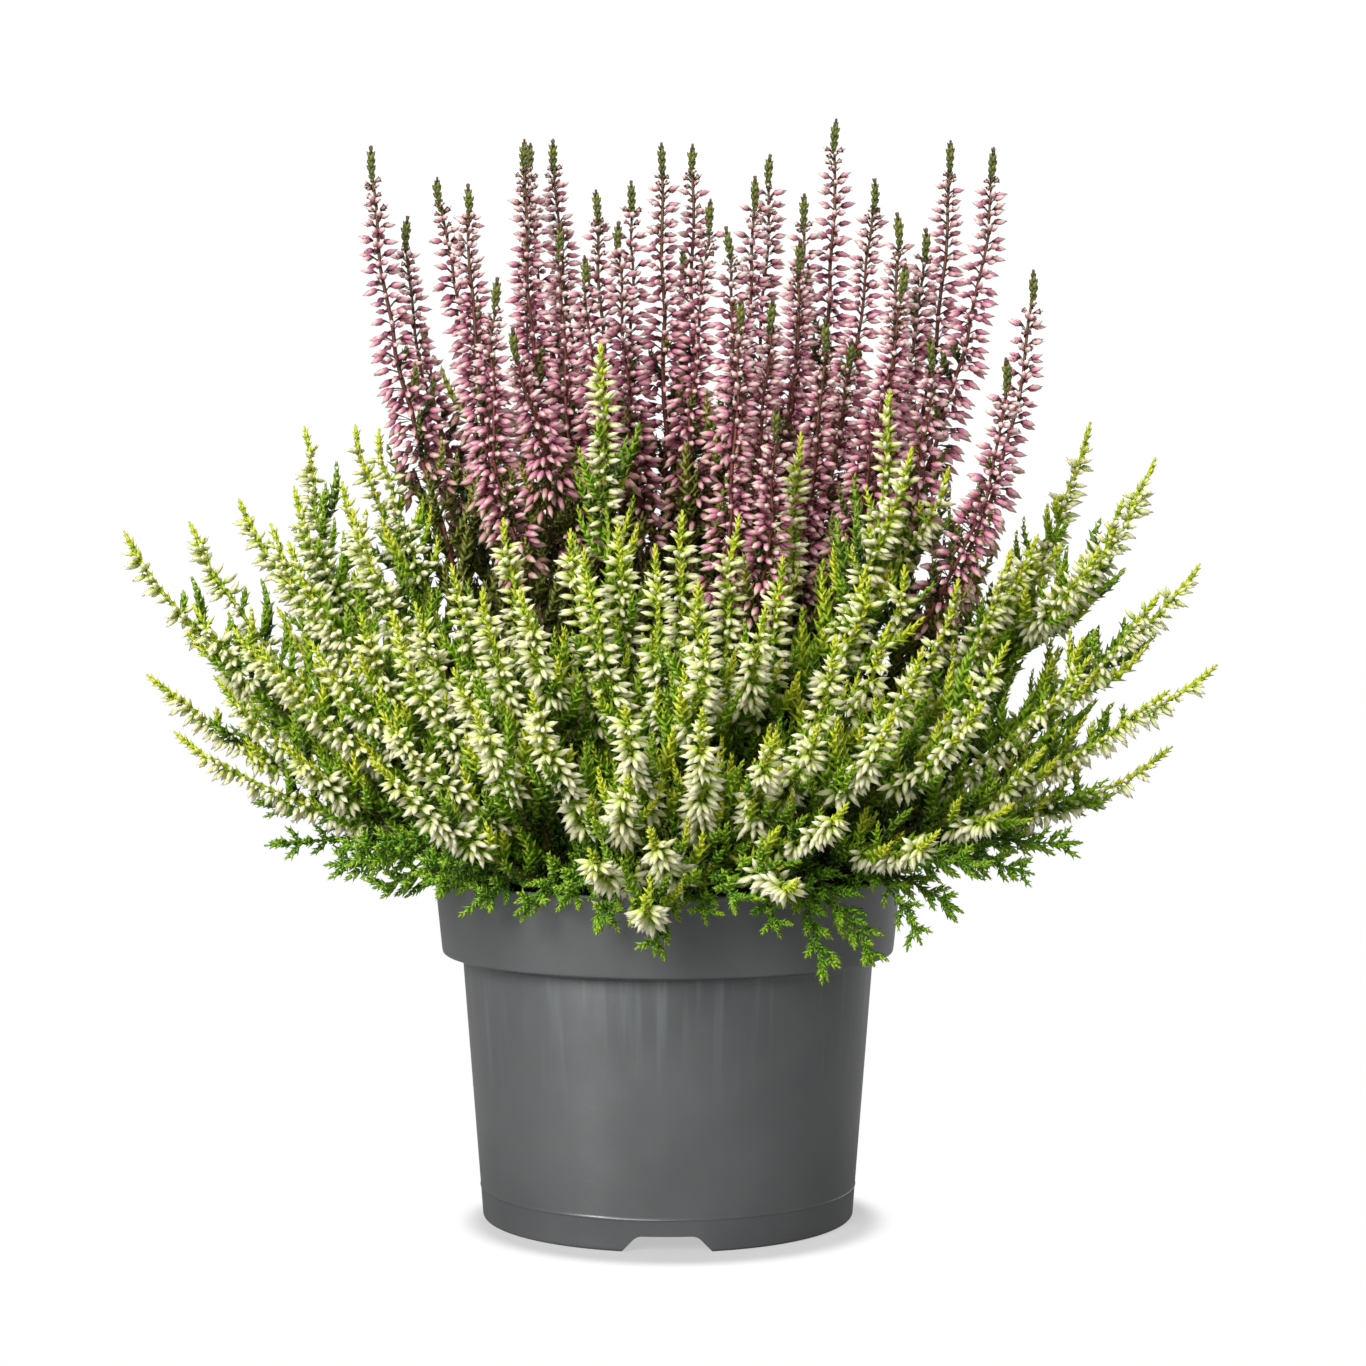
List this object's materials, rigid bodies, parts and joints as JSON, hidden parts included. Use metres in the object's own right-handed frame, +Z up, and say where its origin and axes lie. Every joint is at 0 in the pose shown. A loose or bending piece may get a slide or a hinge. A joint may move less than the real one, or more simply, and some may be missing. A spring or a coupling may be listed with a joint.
{
  "type": "potted heather",
  "caption": "Heather plant with pink and cream-white flower spikes and green leafy shoots, growing in a round dark grey plastic pot.",
  "frame": {"origin": "centre of the pot's foot, on the surface it stands on", "axes": "+Z up along the pot's axis; the side seen in the picture looks towards -Y; +X to its right"},
  "size_m": [0.303, 0.233, 0.311],
  "materials": {
    "pot_plastic": "satin",
    "soil": "matte",
    "pink_heather": "matte",
    "white_heather": "matte",
    "green_heather": "matte"
  },
  "bodies": {
    "root": {"pot": "pot_plastic", "soil": "soil", "pink_spray_01": "pink_heather", "pink_spray_02": "pink_heather", "pink_spray_03": "pink_heather", "pink_spray_04": "pink_heather", "pink_spray_05": "pink_heather", "pink_spray_06": "pink_heather", "pink_spray_07": "pink_heather", "pink_spray_08": "pink_heather", "pink_spray_09": "pink_heather", "pink_spray_10": "pink_heather", "pink_spray_11": "pink_heather", "pink_spray_12": "pink_heather", "pink_spray_13": "pink_heather", "pink_spray_14": "pink_heather", "pink_spray_15": "pink_heather", "pink_spray_16": "pink_heather", "pink_spray_17": "pink_heather", "pink_spray_18": "pink_heather", "white_spray_01": "white_heather", "white_spray_02": "white_heather", "white_spray_03": "white_heather", "white_spray_04": "white_heather", "white_spray_05": "white_heather", "white_spray_06": "white_heather", "white_spray_07": "white_heather", "white_spray_08": "white_heather", "white_spray_09": "white_heather", "white_spray_10": "white_heather", "white_spray_11": "white_heather", "white_spray_12": "white_heather", "white_spray_13": "white_heather", "white_spray_14": "white_heather", "white_spray_15": "white_heather", "white_spray_16": "white_heather", "white_spray_17": "white_heather", "white_spray_18": "white_heather", "white_spray_19": "white_heather", "white_spray_20": "white_heather", "white_spray_21": "white_heather", "white_spray_22": "white_heather", "white_spray_23": "white_heather", "white_spray_24": "white_heather", "white_spray_25": "white_heather", "white_spray_26": "white_heather", "white_spray_27": "white_heather", "white_spray_28": "white_heather", "leafy_stem_01": "green_heather", "leafy_stem_02": "green_heather", "leafy_stem_03": "green_heather", "leafy_stem_04": "green_heather", "leafy_stem_05": "green_heather", "leafy_stem_06": "green_heather", "leafy_stem_07": "green_heather", "leafy_stem_08": "green_heather", "leafy_stem_09": "green_heather", "leafy_stem_10": "green_heather", "leafy_stem_11": "green_heather", "leafy_stem_12": "green_heather"}
  },
  "joints": []
}
